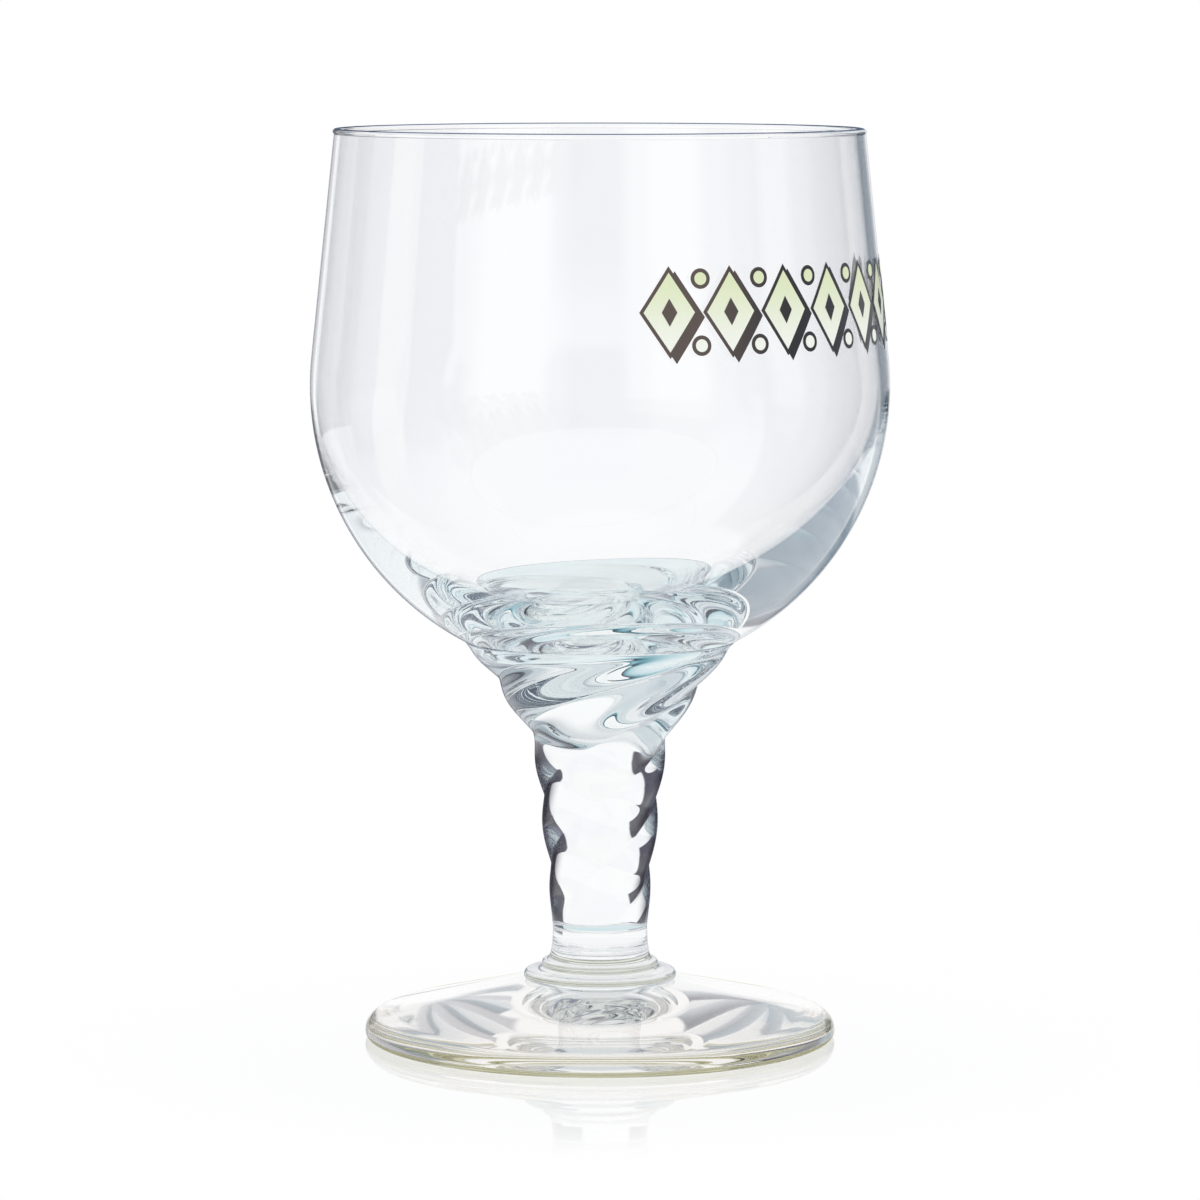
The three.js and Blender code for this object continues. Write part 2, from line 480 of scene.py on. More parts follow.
def stem_tree():
    """The wrung stem: a cylinder whose rings take the envelope's radius, the creases and the twist."""
    net, given, identifiers = geometry_tree("Twisted stem", STEM_INPUTS)
    full = given["Length"]
    cylinder = net.node("GeometryNodeMeshCylinder", {"fill_type": "NGON"}, {
        "Vertices": given["Sides"],
        "Side Segments": given["Rings"],
        "Radius": given["Neck Radius"],
        "Depth": full,
    }, "Mesh")
    ends = cylinder.socket.node.outputs
    x, y, z = place_parts(net)
    height = z + full / 2.0
    drop = full - height

    shank_top = full - given["Head Height"]
    shank = given["Neck Radius"] + (given["Shank Radius"] - given["Neck Radius"]) * height / shank_top
    head = given["Shank Radius"] + (
        (given["Seat Radius"] - given["Shank Radius"]) * (height - shank_top) / given["Head Height"]
    )
    apart = shank - head
    soft = net.math("SQRT", apart * apart + 4.0 * given["Head Blend"] * given["Head Blend"])
    envelope = net.math("MINIMUM", (shank + head + soft) / 2.0, given["Seat Radius"])

    widening = (envelope - given["Neck Radius"]) / (given["Seat Radius"] - given["Neck Radius"])
    crease = given["Shank Crease"] + (given["Head Crease"] - given["Shank Crease"]) * widening
    crease = crease * soft_step(net, height, 0.0, given["Neck Fade"])
    crease = crease * soft_step(net, drop, 0.0, given["Head Fade"])

    around = net.math("ARCTAN2", x, -y) + 2.0 * math.pi
    across = net.math("FRACT", around * given["Strands"] / (2.0 * math.pi))
    swell = net.math("SINE", math.pi * across ** given["Strand Lean"])
    swell = net.math("MAXIMUM", swell, 0.0) ** given["Strand Rounding"]
    radius = envelope - crease * (1.0 - swell)

    turns = net.math("LOGARITHM", 1.0 + given["Lead Growth"] * drop / given["Head Lead"], math.e)
    turned = around + given["Twist Start"] - 2.0 * math.pi * turns / given["Lead Growth"]
    wrung = net.node("ShaderNodeCombineXYZ", None, {
        "X": radius * net.math("SINE", turned),
        "Y": -(radius * net.math("COSINE", turned)),
        "Z": height + given["Base"],
    })
    shaped = net.node("GeometryNodeSetPosition", None, {"Geometry": cylinder, "Position": wrung})

    top, bottom, side = (Wire(net.tree, ends[k]) for k in ("Top", "Bottom", "Side"))
    welds = net.node("FunctionNodeBooleanMath", {"operation": "OR"}, {0: top, 1: bottom})
    smooth = net.node("GeometryNodeSetShadeSmooth", None, {"Geometry": shaped, "Shade Smooth": side})
    marked = net.node(
        "GeometryNodeStoreNamedAttribute", {"data_type": "FLOAT", "domain": "FACE"},
        {"Geometry": smooth, "Selection": welds, "Name": JOINT, "Value": 1.0},
    )
    real = net.node("GeometryNodeRealizeInstances", None, {"Geometry": marked})
    glazed = net.node("GeometryNodeSetMaterial", None, {"Geometry": real, "Material": given["Glass"]})
    net.node("NodeGroupOutput", None, {"Geometry": glazed})
    return net, identifiers


FRIEZE_INPUTS = {
    "Count": "NodeSocketInt",
    "Pitch": "NodeSocketFloat",
    "Start": "NodeSocketFloat",
    "Middle": "NodeSocketFloat",
    "Width": "NodeSocketFloat",
    "Height": "NodeSocketFloat",
    "Roundness": "NodeSocketFloat",
    "Shift": "NodeSocketFloat",
    "Lift": "NodeSocketFloat",
    "Film": "NodeSocketFloat",
    "Wall Foot Radius": "NodeSocketFloat",
    "Wall Foot Height": "NodeSocketFloat",
    "Wall Slope": "NodeSocketFloat",
    "Enamel": "NodeSocketMaterial",
}


def frieze_tree():
    """A row of flat motifs, from lozenges to discs by their roundness, wrapped onto the conical wall."""
    net, given, identifiers = geometry_tree("Frieze row", FRIEZE_INPUTS)
    disc = net.node("GeometryNodeMeshCylinder", {"fill_type": "TRIANGLE_FAN"}, {
        "Vertices": 48, "Side Segments": 1, "Fill Segments": 5, "Radius": 1.0, "Depth": 1.0,
    }, "Mesh")
    x, y, z = place_parts(net)
    power = given["Roundness"]
    spread = net.math("ABSOLUTE", x) ** power + net.math("ABSOLUTE", y) ** power
    reach = net.math("MAXIMUM", spread ** (1.0 / power), 1e-6)
    scale = net.math("SQRT", x * x + y * y) / reach / 2.0
    shape = net.node("ShaderNodeCombineXYZ", None, {
        "X": x * scale * given["Width"], "Y": y * scale * given["Height"], "Z": z * given["Film"],
    })
    motif = net.node("GeometryNodeSetPosition", None, {"Geometry": disc, "Position": shape})

    step = net.node("ShaderNodeCombineXYZ", None, {"X": given["Pitch"]})
    row = net.node("GeometryNodeMeshLine", {"mode": "OFFSET"}, {"Count": given["Count"], "Offset": step})
    motifs = net.node("GeometryNodeInstanceOnPoints", None, {"Points": row, "Instance": motif})
    real = net.node("GeometryNodeRealizeInstances", None, {"Geometry": motifs})

    x, y, z = place_parts(net)
    above = given["Middle"] - given["Wall Foot Height"]
    wall = given["Wall Foot Radius"] - above * given["Wall Slope"]
    around = given["Start"] + (x + given["Shift"]) / wall
    radius = wall - y * given["Wall Slope"] + z + given["Lift"]
    wrapped = net.node("ShaderNodeCombineXYZ", None, {
        "X": radius * net.math("SINE", around),
        "Y": -(radius * net.math("COSINE", around)),
        "Z": given["Middle"] + y,
    })
    printed = net.node("GeometryNodeSetPosition", None, {"Geometry": real, "Position": wrapped})
    inked = net.node("GeometryNodeSetMaterial", None, {"Geometry": printed, "Material": given["Enamel"]})
    net.node("NodeGroupOutput", None, {"Geometry": inked})
    return net, identifiers


def make_enamel(name, first, second, along, low, high):
    """Fired-on enamel whose colour runs from first to second between two places along X or Z."""
    material, net = shader_tree(name)
    place = net.node("ShaderNodeTexCoord", None, None, "Object")
    part = net.node("ShaderNodeSeparateXYZ", None, {0: place}, along)
    tone = blend(net, soft_step(net, part, low, high), first, second)
    paint = net.node("ShaderNodeBsdfPrincipled", None, {
        "Base Color": tone, "Roughness": 0.35, "IOR": 1.5, "Coat Weight": 0.2, "Coat Roughness": 0.1,
    })
    net.node("ShaderNodeOutputMaterial", None, {"Surface": paint})
    return material


class GOBLET_OT_print(bpy.types.Operator):
    """Prints the enamel frieze of lozenges and discs on the bowl's wall"""

    bl_idname = "goblet.print"
    bl_label = "Enamel frieze"

    INSET = 1.35
    CORE = (0.26, 0.3)
    PIP_FILL = 0.62
    FIRST_LIFT = 1.2
    LAYER_LIFT = 1.3
    LOZENGE, DISC = 1.0, 2.0

    def execute(self, context):
        sizes = context.scene.goblet_print
        colours = context.scene.goblet_colours
        low = sizes.middle - sizes.height / 2
        high = sizes.middle + sizes.height / 2
        # The dark print: its own dark colour, with painted light making it brown at the left.
        dark = make_enamel(
            "dark_print", colours.painted_lit_enamel, colours.dark_enamel,
            "X", sizes.brown_end, sizes.dark_start,
        )
        pale = make_enamel("pale_print", colours.white_enamel, colours.pale_enamel, "Z", low, high)
        tree = frieze_tree()
        aspect = sizes.width / sizes.height
        whole = (sizes.width, sizes.height)
        fill = (
            sizes.width - sizes.outline * aspect * self.INSET, sizes.height - sizes.outline * self.INSET,
        )
        core = (sizes.width * self.CORE[0], sizes.height * self.CORE[1])
        for layer, (name, enamel, size, place) in enumerate((
            ("lozenge_shadow", dark, whole, (sizes.shift, -sizes.drop)),
            ("lozenge_outline", dark, whole, (0.0, 0.0)),
            ("lozenge_fill", pale, fill, (0.0, 0.0)),
            ("lozenge_core", dark, core, (0.0, 0.0)),
        )):
            self.row(context, tree, name, enamel, layer, sizes.lozenges, size, self.LOZENGE, place)
        half, gaps = sizes.pitch / 2, sizes.lozenges - 1
        ring = (sizes.pip, sizes.pip)
        disc = (sizes.pip * self.PIP_FILL, sizes.pip * self.PIP_FILL)
        for place, rise in (("upper", sizes.pip_rise), ("lower", -sizes.pip_rise)):
            spot = (half, rise)
            self.row(context, tree, f"pip_outline_{place}", dark, 1, gaps, ring, self.DISC, spot)
            self.row(context, tree, f"pip_fill_{place}", pale, 2, gaps, disc, self.DISC, spot)
        return {"FINISHED"}

    def row(self, context, tree, name, enamel, layer, motifs, size, roundness, place):
        """Prints one layer of a row of motifs."""
        sizes, bowl = context.scene.goblet_print, context.scene.goblet_bowl
        rise = math.sqrt(bowl.belly ** 2 - bowl.seat ** 2)
        piece = grow(name, *tree, {
            "Count": motifs,
            "Pitch": sizes.pitch,
            "Start": sizes.start,
            "Middle": sizes.middle + place[1],
            "Width": size[0],
            "Height": size[1],
            "Roundness": roundness,
            "Shift": place[0],
            "Lift": sizes.film * (self.LAYER_LIFT * layer + self.FIRST_LIFT),
            "Film": sizes.film,
            "Wall Foot Radius": bowl.belly * math.cos(bowl.taper),
            "Wall Foot Height": BOWL_LOW[2] + rise + bowl.belly * math.sin(bowl.taper),
            "Wall Slope": math.tan(bowl.taper),
            "Enamel": enamel,
        })
        fix(piece, "dark_enamel" if enamel.name == "dark_print" else "pale_enamel")


class GOBLET_OT_bowl(bpy.types.Operator):
    """Turns the bowl: belly, tapering wall, rim bead and a cavity that drifts off the axis"""

    bl_idname = "goblet.bowl"
    bl_label = "Bowl"

    BEAD_STEPS = 28
    BEAD_CREST = (9, 19)
    # Slant from which the painted outline shade comes in, and how much of it.
    OUTLINE_SHADE_FROM, OUTLINE_SHEER = 0.86, 0.43

    def execute(self, context):
        sizes, colours = context.scene.goblet_bowl, context.scene.goblet_colours
        base, top = BOWL_LOW[2], BOWL_HIGH[2]
        rise = math.sqrt(sizes.belly ** 2 - sizes.seat ** 2)
        centre = (0.0, base + rise)
        slope = math.tan(sizes.taper)
        wall_foot = (
            sizes.belly * math.cos(sizes.taper),
            centre[1] + sizes.belly * math.sin(sizes.taper),
        )
        bead_z = top - sizes.bead_height / 2
        rim = wall_foot[0] - (bead_z - wall_foot[1]) * slope
        opening = math.acos(sizes.wall / sizes.bead_width)
        belly = arc(centre, sizes.belly, sizes.belly, -math.asin(rise / sizes.belly), sizes.taper, 90)
        bead = arc(
            (rim - sizes.wall / 2, bead_z), sizes.bead_width / 2, sizes.bead_height / 2,
            -opening, math.pi + opening, self.BEAD_STEPS,
        )
        cavity_radius = sizes.belly - sizes.wall
        cavity_depth = rise - sizes.floor
        cavity_top = math.atan(slope * cavity_depth / cavity_radius)
        cavity = arc(centre, cavity_radius, cavity_depth, cavity_top, -math.pi / 2, 90)
        outside = [(0.0, base), *belly, *self.wall(belly[-1], bead[0]), *bead[1:]]
        inside = [*self.wall(cavity[0], bead[-1])[-2::-1], *cavity[:-1], (0.0, base + sizes.floor)]
        bead_start = len(outside) - len(bead)
        # The stretches over the bead's crest show the painted rim shade from everywhere.
        shaded_crest = range(bead_start + self.BEAD_CREST[0], bead_start + self.BEAD_CREST[1])
        mesh = turned_mesh("blown_bowl", outside + inside, sizes.sides, {0}, shaded_crest)
        self.lean_cavity(mesh, sizes, (bead_start, len(outside) - 1), (centre[1], cavity_depth))
        mesh.materials.append(make_glass(
            "bowl_clear", colours.bowl_tint, colours.bowl_depth, colours.bowl_edge_shade,
            self.OUTLINE_SHADE_FROM, self.OUTLINE_SHEER,
        ))
        fix(show("blown_bowl", mesh), "bowl_glass", "bowl")
        return {"FINISHED"}

    def wall(self, foot, bead):
        """Points up a wall from its foot to the bead, close together under the bead."""
        last_part = 0.006
        close = tuple(bead[k] + (foot[k] - bead[k]) * last_part for k in range(2))
        return [*line(foot, close, 16), *line(close, bead, 2)]

    def lean_cavity(self, mesh, sizes, bead_span, cavity_span):
        """Moves the inner wall to the left, most at its bottom; the bead follows on its inner side."""
        points = np.empty(len(mesh.vertices) * 3, dtype=np.float32)
        mesh.vertices.foreach_get("co", points)
        points = points.reshape(-1, 3)
        ring = (np.arange(len(points)) - 1) // sizes.sides + 1
        share = np.clip((ring - bead_span[0]) / (bead_span[1] - bead_span[0]), 0.0, 1.0)
        below = np.clip((cavity_span[0] - points[:, 2]) / cavity_span[1], 0.0, 1.0)
        points[:, 0] -= share * (sizes.offset + (sizes.drift - sizes.offset) * below ** 2)
        mesh.vertices.foreach_set("co", points.ravel())
        mesh.update()


class GOBLET_OT_stem(bpy.types.Operator):
    """Wrings the stem's strands with Geometry Nodes"""

    bl_idname = "goblet.stem"
    bl_label = "Twisted stem"

    # Slant from which the painted outline shade comes in.
    OUTLINE_SHADE_FROM = 0.7
    # Margins at the shank's ends of the painted shade on its sides.
    SIDE_SHADE_MARGINS = (1.5 * MM, 2 * MM)

    def execute(self, context):
        sizes, colours = context.scene.goblet_stem, context.scene.goblet_colours
        net, identifiers = stem_tree()
        shank = (
            STEM_LOW[2] + self.SIDE_SHADE_MARGINS[0], STEM_HIGH[2] - sizes.head - self.SIDE_SHADE_MARGINS[1],
        )
        glass = make_glass(
            "stem_clear", colours.stem_tint, colours.stem_depth, colours.stem_edge_shade,
            self.OUTLINE_SHADE_FROM, shank=shank, side=colours.stem_side_shade,
        )
        piece = grow("wrung_stem", net, identifiers, {
            "Base": STEM_LOW[2],
            "Length": STEM_HIGH[2] - STEM_LOW[2],
            "Neck Radius": sizes.neck,
            "Shank Radius": sizes.shank,
            "Seat Radius": context.scene.goblet_bowl.seat,
            "Head Height": sizes.head,
            "Head Blend": sizes.blend,
            "Shank Crease": sizes.shank_groove,
            "Head Crease": sizes.head_groove,
            "Neck Fade": sizes.neck_fade,
            "Head Fade": sizes.head_fade,
            "Head Lead": sizes.head_pitch,
            "Lead Growth": sizes.growth,
            "Twist Start": sizes.start,
            "Strand Lean": sizes.lean,
            "Strand Rounding": sizes.rounding,
            "Strands": sizes.strands,
            "Sides": sizes.sides,
            "Rings": sizes.rings,
            "Glass": glass,
        })
        fix(piece, "stem_glass", "twisted_stem")
        return {"FINISHED"}


class GOBLET_OT_merese(bpy.types.Operator):
    """Turns the stepped merese"""

    bl_idname = "goblet.merese"
    bl_label = "Merese"

    def execute(self, context):
        sizes = context.scene.goblet_foot
        neck = context.scene.goblet_stem.neck
        base, top = MERESE_LOW[2], MERESE_HIGH[2]
        edge_axis = (sizes.collar - sizes.collar_edge, base + sizes.collar_edge)
        edge = arc(edge_axis, sizes.collar_edge, sizes.collar_edge, -math.pi / 2, math.pi / 2, 18)
        ring_axis = (sizes.ring - sizes.ring_edge, base + sizes.ring_height - sizes.ring_edge)
        collar_top = edge[-1][1]
        cove = bend(edge[-1], (sizes.ring, collar_top), (sizes.ring, ring_axis[1]), 12)
        ring = arc(ring_axis, sizes.ring_edge, sizes.ring_edge, 0.0, math.pi / 2, 10)
        run = bend(ring[-1], (neck, ring[-1][1]), (neck, top), 24)
        outline = [(0.0, base), *edge, *cove, *ring[1:], *run, (0.0, top)]
        mesh = turned_mesh("stepped_merese", outline, sizes.sides, {0, len(outline) - 2})
        mesh.materials.append(bpy.data.materials["stem_clear"])
        fix(show("stepped_merese", mesh), "stem_glass", "merese")
        return {"FINISHED"}


class GOBLET_OT_foot(bpy.types.Operator):
    """Turns the domed foot with its hollow underside"""

    bl_idname = "goblet.foot"
    bl_label = "Foot"

    HEEL_STEPS = 12
    # Heel stretches that show the painted heel shade from everywhere, and the slant from which it comes
    # in.
    HEEL_EDGE = (2, 11)
    OUTLINE_SHADE_FROM = 0.97

    def execute(self, context):
        sizes, colours = context.scene.goblet_foot, context.scene.goblet_colours
        base, top = FOOT_LOW[2], FOOT_HIGH[2]
        rest_outer = sizes.radius - sizes.heel
        rest_inner = rest_outer - sizes.rest
        crown = (0.0, base + sizes.hollow)
        hollow = bend(crown, (rest_inner / 2, crown[1]), (rest_inner, base), 30)
        heel_axis = (rest_outer, base + sizes.heel)
        heel = arc(heel_axis, sizes.heel, sizes.heel, -math.pi / 2, 0.0, self.HEEL_STEPS)
        shoulder_axis = (sizes.radius - sizes.shoulder, base + sizes.heel)
        to_boss = (sizes.boss - shoulder_axis[0], top - shoulder_axis[1])
        touch = math.atan2(to_boss[1], to_boss[0]) - math.acos(sizes.shoulder / math.hypot(*to_boss))
        shoulder = arc(shoulder_axis, sizes.shoulder, sizes.shoulder, 0.0, touch, 18)
        boss = (sizes.boss, top)
        weld = (sizes.collar - sizes.collar_edge, top)
        outline = [
            crown, *hollow, *heel, *shoulder[1:], *line(shoulder[-1], boss, 24), weld, (0.0, top),
        ]
        heel_start = len(hollow) + 1
        edges = range(heel_start + self.HEEL_EDGE[0], heel_start + self.HEEL_EDGE[1])
        mesh = turned_mesh("domed_foot", outline, sizes.sides, {len(outline) - 2}, edges)
        mesh.materials.append(make_glass(
            "foot_clear", colours.foot_tint, colours.foot_depth, colours.foot_edge_shade, self.OUTLINE_SHADE_FROM,
        ))
        fix(show("domed_foot", mesh), "foot_glass", "foot")
        return {"FINISHED"}


# Bearings in the studio, in degrees from straight behind the goblet, to the right.
SIDES = (-118.0, 112.0)
LEFT_DARK = (-66.0, -28.0)
LEFT_SHEET = (-99.0, -81.0)
RIGHT_DARK = (38.0, 112.0)
MIRRORED_DARK_END = 56.0
LEFT_LINE = (-22.0, -8.0)
RIGHT_LINE = (15.0, 34.0)
RIGHT_WALL = (15.0, 40.0)
FRONT_BOXES = ((-158.0, -122.0), (131.0, 168.0))
FLOOR_SHEET = (117.0, 157.0)
FRONT_EDGE = (112.0, 120.0)
REAR = (-114.0, 88.0)

# Heights in the studio, in degrees above the horizon, over which a tone comes in or goes out.
BOX_TOP = (14.0, 11.0)
SHEET_TOP = (12.0, 9.0)
UPPER_FROM = (18.0, 32.0)
PALER_OVER = (5.0, 24.0)
CEILING_FROM = (55.0, 65.0)
RIGHT_TOP = (50.0, 35.0)
MIRRORED_HIGH_FROM = (9.0, 14.0)
LINE_TOP = (14.0, 9.0)
LOW_TOP = (16.0, 12.0)
REAR_TOP = (75.0, 65.0)

# Distances on the floor from the goblet's axis, in metres, over which a tone comes in or goes out.
STUDIO_FROM = (0.1, 0.3)
FRONT_FROM = (0.25, 0.45)
FLOOR_SHEET_END = (0.9, 0.58)
LEFT_FROM = (0.462, 0.48)
FAR_LEFT_FROM = (0.2, 0.3)
RIGHT_FROM = (0.065, 0.075)
DEEP_FROM = (0.2, 0.3)
WALL_FROM = (0.25, 0.3)
POLISH_END = (0.105, 0.05)

# Two bearings, and how often light between them was bent inside the glass at the least.
LEFT_DEEP = (-130.0, -28.0, 8.5)
RIGHT_DEEP = (28.0, 86.0, 5.5)
REAR_BOUNCES = (7.5, 9.5)
WALL_HITS = (2.5, 3.5)

# Tones of the studio. In a pair the first is what glass mirrors and the second what it lets through.
BACKDROP_TONES = (WHITE, (0.978, 0.984, 1.0))
ROOM_TONES = ((0.72, 0.75, 0.88), (0.21, 0.22, 0.30))
SIDE_TONES = ((0.55, 0.60, 0.72), (0.29, 0.39, 0.45))
LEFT_TONES = ((0.74, 0.76, 0.80), (0.08, 0.072, 0.095))
RIGHT_TONES = ((0.74, 0.76, 0.80), (0.075, 0.068, 0.09))
LEFT_HIGH_TONE = (0.6, 0.63, 0.67)
RIGHT_HIGH_TONE = (0.36, 0.43, 0.48)
UPPER_TONE = (0.74, 0.77, 0.79)
CEILING_TONE = (0.86, 0.87, 0.88)
MIRRORED_HIGH_TONE = (0.86, 0.88, 0.91)
LEFT_LINE_TONE = (0.30, 0.31, 0.35)
RIGHT_LINE_TONE = (0.10, 0.15, 0.20)
RIGHT_WALL_TONE = (0.06, 0.10, 0.15)
LEFT_DEEP_TONE = (0.32, 0.38, 0.44)
RIGHT_DEEP_TONE = (0.52, 0.52, 0.56)
REAR_DEEP_TONE = (0.93, 0.95, 0.97)

FLOOR_REACH = 40.0
FLOOR_DROP = 0.02 * MM
FLOOR_POLISH = 0.32
FLOOR_GRAIN = 0.012
FLOOR_GLOW = 0.95
LIGHT_BOUNCES = 64
CLEAR_BOUNCES = 32

# The camera's place, its tilt down in degrees and its focal length in pixels of the picture.
CAMERA_PLACE = (0.0, -912.0 * MM, 169.6 * MM)
CAMERA_TILT = 6.075
FOCAL_PIXELS = 5572.0


def light_path(net):
    """Whether a ray comes from the camera, by a mirror or through glass, and how often it was bent."""
    path = net.node("ShaderNodeLightPath").socket.node.outputs
    kinds = ("Is Camera Ray", "Is Glossy Ray", "Is Transmission Ray", "Ray Depth")
    return [Wire(net.tree, path[kind]) for kind in kinds]


def bearing_of(net, x, y):
    """Bearing of a direction from straight behind, to the right, in degrees."""
    return net.math("ARCTAN2", x, y) * (180.0 / math.pi)


def deep_paths(net, bounces, bearing, low, high, least):
    """Light that was bent at least so often inside the glass and leaves it between two bearings."""
    return soft_step(net, bounces, least - 1.0, least + 1.0) * between(net, bearing, low, high, 2.0)


def wall_line(net, tone, hits, bearing, share):
    """Darkens the light that was mirrored once inside the bowl's wall and leaves it to the right."""
    once = between(net, hits, *WALL_HITS, 0.3)
    aside = between(net, bearing, *RIGHT_WALL, 2.0)
    return blend(net, once * aside * share, tone, RIGHT_WALL_TONE)


def studio_tone(net, bearing, height, through, bounces):
    """What glass mirrors or lets through of the studio, by bearing and by height, both in degrees."""
    mirrored = 1.0 - through

    # the room in front with its two boxes, and the sides and the backdrop behind
    turned = bearing * (1.0 - 2.0 * through)
    boxes = between(net, turned, *FRONT_BOXES[0], 4.0) + between(net, turned, *FRONT_BOXES[1], 4.0)
    boxes = boxes * soft_step(net, height, *BOX_TOP)
    front = blend(net, boxes, blend(net, through, *ROOM_TONES), WHITE)
    sides = blend(net, through, *SIDE_TONES)
    tone = blend(net, between(net, bearing, LEFT_DARK[1], RIGHT_DARK[0], 1.0), sides, WHITE)
    sheet = between(net, bearing, *LEFT_SHEET, 1.0) * soft_step(net, height, *SHEET_TOP)
    tone = blend(net, sheet, tone, WHITE)
    tone = blend(net, soft_step(net, height, *UPPER_FROM), tone, UPPER_TONE)
    tone = blend(net, between(net, bearing, *SIDES, 8.0), front, tone)

    # the dark sides beside the backdrop, paler higher up, with the ceiling between them
    rise = soft_step(net, height, *PALER_OVER)
    left = blend(net, rise, blend(net, through, *LEFT_TONES), LEFT_HIGH_TONE)
    left_start = -MIRRORED_DARK_END + (LEFT_DARK[0] + MIRRORED_DARK_END) * through
    tone = blend(net, between(net, bearing, left_start, LEFT_DARK[1], 1.5), tone, left)
    tone = blend(net, soft_step(net, height, *CEILING_FROM), tone, CEILING_TONE)
    right = blend(net, rise, blend(net, through, *RIGHT_TONES), RIGHT_HIGH_TONE)
    right_end = MIRRORED_DARK_END + (RIGHT_DARK[1] - MIRRORED_DARK_END) * through
    right_part = between(net, bearing, RIGHT_DARK[0], right_end, 1.0)
    tone = blend(net, right_part * soft_step(net, height, *RIGHT_TOP), tone, right)

    # what the outer surface mirrors: pale high up, and low down a dark line on either outline
    tone = blend(net, mirrored * soft_step(net, height, *MIRRORED_HIGH_FROM), tone, MIRRORED_HIGH_TONE)
    low_mirrored = mirrored * soft_step(net, height, *LINE_TOP)
    tone = blend(net, low_mirrored * between(net, bearing, *LEFT_LINE, 2.0), tone, LEFT_LINE_TONE)
    tone = blend(net, low_mirrored * between(net, bearing, *RIGHT_LINE, 2.0), tone, RIGHT_LINE_TONE)

    # light that has run far inside the glass
    low = soft_step(net, height, *LOW_TOP)
    tone = blend(net, deep_paths(net, bounces, bearing, *LEFT_DEEP) * low, tone, LEFT_DEEP_TONE)
    tone = blend(net, deep_paths(net, bounces, bearing, *RIGHT_DEEP) * low, tone, RIGHT_DEEP_TONE)
    rear = (1.0 - between(net, bearing, *REAR, 4.0)) * soft_step(net, bounces, *REAR_BOUNCES)
    return blend(net, rear * soft_step(net, height, *REAR_TOP), tone, REAR_DEEP_TONE)


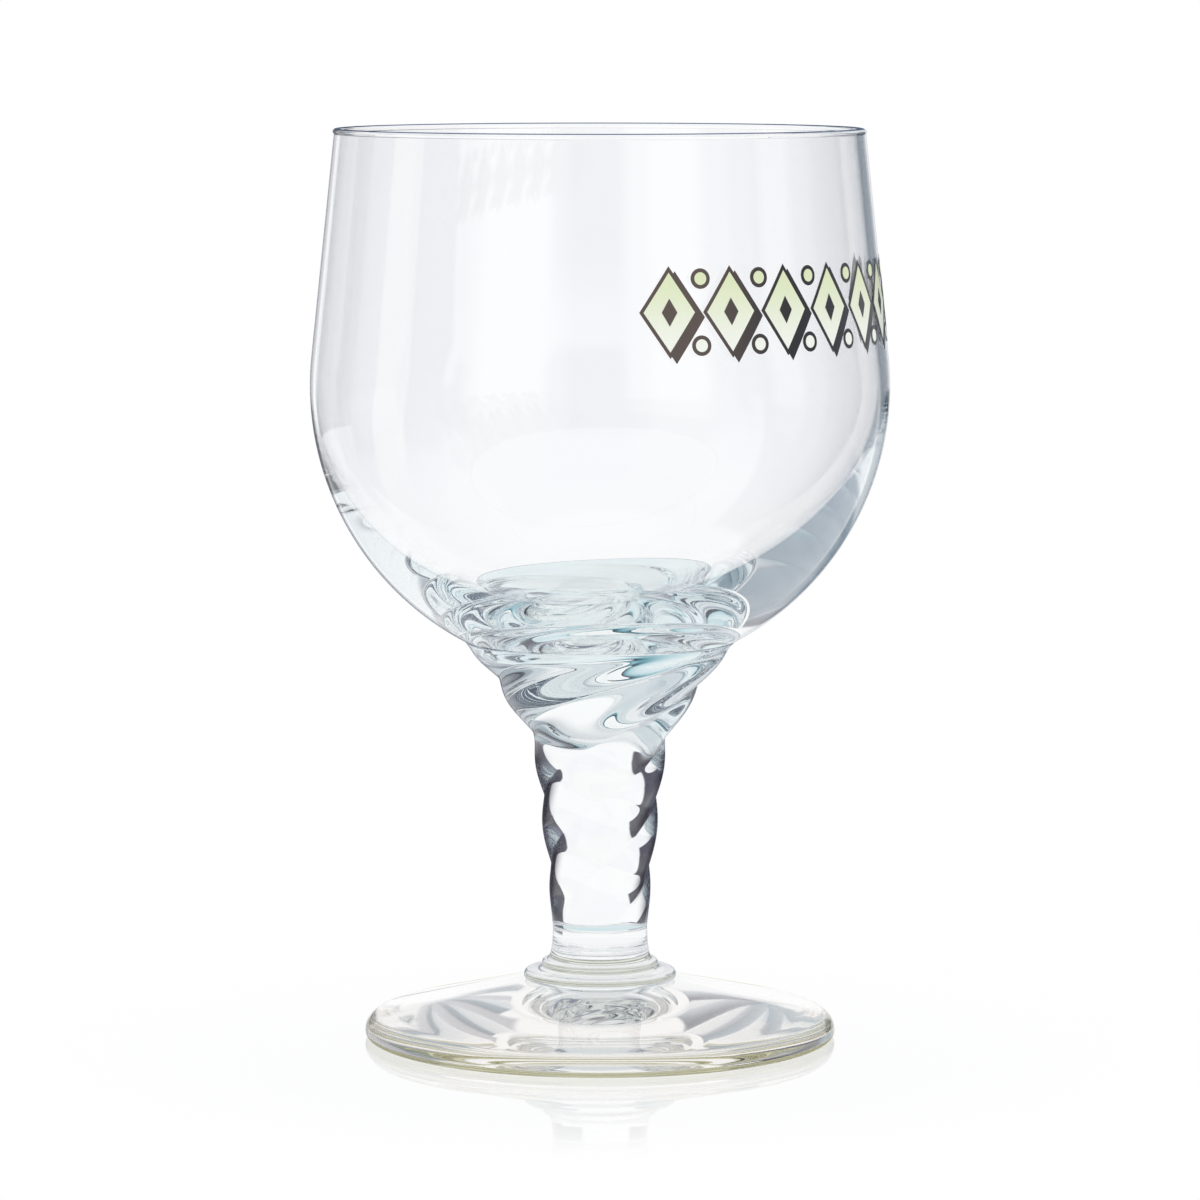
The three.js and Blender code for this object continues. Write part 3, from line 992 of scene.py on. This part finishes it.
class GOBLET_OT_stage(bpy.types.Operator):
    """Sets the floor, the studio around the goblet and the camera"""

    bl_idname = "goblet.stage"
    bl_label = "Stage"

    def execute(self, context):
        scene = context.scene
        self.make_floor()
        self.make_world(scene)
        self.make_camera(scene)
        scene.view_settings.view_transform = "Standard"
        scene.cycles.max_bounces = LIGHT_BOUNCES
        scene.cycles.transmission_bounces = LIGHT_BOUNCES
        scene.cycles.glossy_bounces = LIGHT_BOUNCES
        scene.cycles.transparent_max_bounces = CLEAR_BOUNCES
        return {"FINISHED"}

    def make_floor(self):
        """A wide floor: white to the camera, polished under the foot, in the studio's tones to glass."""
        mesh = bpy.data.meshes.new("floor")
        ways = ((-1, -1), (1, -1), (1, 1), (-1, 1))
        corners = [(x * FLOOR_REACH, y * FLOOR_REACH, -FLOOR_DROP) for x, y in ways]
        mesh.from_pydata(corners, [], [(0, 1, 2, 3)])
        floor = show("floor", mesh)
        material, net = shader_tree("white_floor")
        camera, glossy, through, bounces = light_path(net)
        place = net.node("ShaderNodeTexCoord", None, None, "Object")
        far = net.node("ShaderNodeVectorMath", {"operation": "LENGTH"}, {0: place}, 1)
        parts = net.node("ShaderNodeSeparateXYZ", None, {0: place}).socket.node.outputs
        bearing = bearing_of(net, Wire(net.tree, parts[0]), Wire(net.tree, parts[1]))

        mirrored = (1.0 - through) * soft_step(net, far, *STUDIO_FROM)
        sheet = between(net, bearing, *FLOOR_SHEET, 5.0) * soft_step(net, far, *FLOOR_SHEET_END)
        front = soft_step(net, net.math("ABSOLUTE", bearing), *FRONT_EDGE) * (1.0 - sheet)
        front = front * soft_step(net, far, *FRONT_FROM)
        left = between(net, bearing, *LEFT_DARK, 2.0) * soft_step(net, far, *LEFT_FROM)
        far_left = between(net, bearing, SIDES[0], LEFT_DARK[0], 2.0)
        left = left + far_left * soft_step(net, far, *FAR_LEFT_FROM)
        right = between(net, bearing, *RIGHT_DARK, 2.0) * soft_step(net, far, *RIGHT_FROM)
        dark = net.math("MAXIMUM", mirrored, through * net.math("MAXIMUM", front, left + right))
        deep = deep_paths(net, bounces, bearing, *LEFT_DEEP)
        deep = deep + deep_paths(net, bounces, bearing, *RIGHT_DEEP)
        dark = net.math("MAXIMUM", dark, deep * soft_step(net, far, *DEEP_FROM))

        backdrop = blend(net, through * soft_step(net, far, *STUDIO_FROM), *BACKDROP_TONES)
        tone = blend(net, glossy * dark, backdrop, studio_tone(net, bearing, 0.0, through, bounces))
        tone = wall_line(net, tone, bounces, bearing, through * soft_step(net, far, *WALL_FROM))
        white = net.node("ShaderNodeEmission", None, {"Color": tone, "Strength": 1.0})
        matt = net.node("ShaderNodeBsdfDiffuse", None, {"Color": (*WHITE, 1.0)})
        seen = net.math("MINIMUM", FLOOR_GLOW * camera + glossy + through, 1.0)
        bright = net.node("ShaderNodeMixShader", None, {0: seen, 1: matt, 2: white})
        gloss = net.node("ShaderNodeBsdfGlossy", None, {
            "Color": (*WHITE, 1.0), "Roughness": FLOOR_GRAIN,
        })
        polish = FLOOR_POLISH * soft_step(net, far, *POLISH_END)
        surface = net.node("ShaderNodeMixShader", None, {0: polish, 1: bright, 2: gloss})
        net.node("ShaderNodeOutputMaterial", None, {"Surface": surface})
        mesh.materials.append(material)

    def make_world(self, scene):
        """Plain white light all round, in which glass shows the studio."""
        world = bpy.data.worlds.new("studio")
        world.use_nodes = True
        world.node_tree.nodes.clear()
        net = Wire(world.node_tree)
        _, glossy, through, bounces = light_path(net)
        way = net.node("ShaderNodeTexCoord", None, None, "Generated")
        parts = net.node("ShaderNodeSeparateXYZ", None, {0: way}).socket.node.outputs
        x, y, z = (Wire(net.tree, parts[k]) for k in range(3))
        bearing = bearing_of(net, x, y)
        height = net.math("ARCSINE", z) * (180.0 / math.pi)
        tone = blend(net, glossy, WHITE, studio_tone(net, bearing, height, through, bounces))
        # the world counts one bounce more than the floor does
        low = through * soft_step(net, height, *LOW_TOP)
        tone = wall_line(net, tone, bounces - 1.0, bearing, low)
        sky = net.node("ShaderNodeBackground", None, {"Color": tone, "Strength": 1.0})
        net.node("ShaderNodeOutputWorld", None, {"Surface": sky})
        scene.world = world

    def make_camera(self, scene):
        """The camera at the photograph's place."""
        lens = bpy.data.cameras.new("camera")
        lens.sensor_width = SENSOR_WIDTH
        lens.lens = FOCAL_PIXELS / PICTURE_WIDTH * SENSOR_WIDTH
        lens.clip_start = 0.01
        lens.clip_end = 200.0
        camera = bpy.data.objects.new("camera", lens)
        camera.location = CAMERA_PLACE
        camera.rotation_euler = (math.radians(90.0 - CAMERA_TILT), 0.0, 0.0)
        scene.collection.objects.link(camera)
        scene.camera = camera


class GOBLET_PT_panel(bpy.types.Panel):
    """Lists the goblet's pieces, sizes and colours"""

    bl_idname = "GOBLET_PT_panel"
    bl_label = "Beer goblet"
    bl_space_type = "VIEW_3D"
    bl_region_type = "UI"
    bl_category = "Goblet"

    def draw(self, context):
        for operator in OPERATORS:
            self.layout.operator(operator.bl_idname)
        for group in GROUPS:
            box = self.layout.box()
            settings = getattr(context.scene, group)
            for label in settings.bl_rna.properties.keys():
                if label not in ("rna_type", "name"):
                    box.prop(settings, label)


OPERATORS = (
    GOBLET_OT_bowl, GOBLET_OT_stem, GOBLET_OT_merese, GOBLET_OT_foot, GOBLET_OT_print, GOBLET_OT_stage,
)
GROUPS = {
    "goblet_foot": GobletFootSizes,
    "goblet_stem": GobletStemSizes,
    "goblet_bowl": GobletBowlSizes,
    "goblet_print": GobletPrintSizes,
    "goblet_colours": GobletColours,
}


def register():
    for group, settings in GROUPS.items():
        bpy.utils.register_class(settings)
        setattr(bpy.types.Scene, group, PointerProperty(type=settings))
    for operator in OPERATORS:
        bpy.utils.register_class(operator)
    bpy.utils.register_class(GOBLET_PT_panel)


def unregister():
    bpy.utils.unregister_class(GOBLET_PT_panel)
    for operator in reversed(OPERATORS):
        bpy.utils.unregister_class(operator)
    for group, settings in reversed(GROUPS.items()):
        delattr(bpy.types.Scene, group)
        bpy.utils.unregister_class(settings)


def main():
    register()
    bpy.ops.goblet.bowl()
    bpy.ops.goblet.stem()
    bpy.ops.goblet.merese()
    bpy.ops.goblet.foot()
    bpy.ops.goblet.print()
    bpy.ops.goblet.stage()


if __name__ == "__main__":
    main()
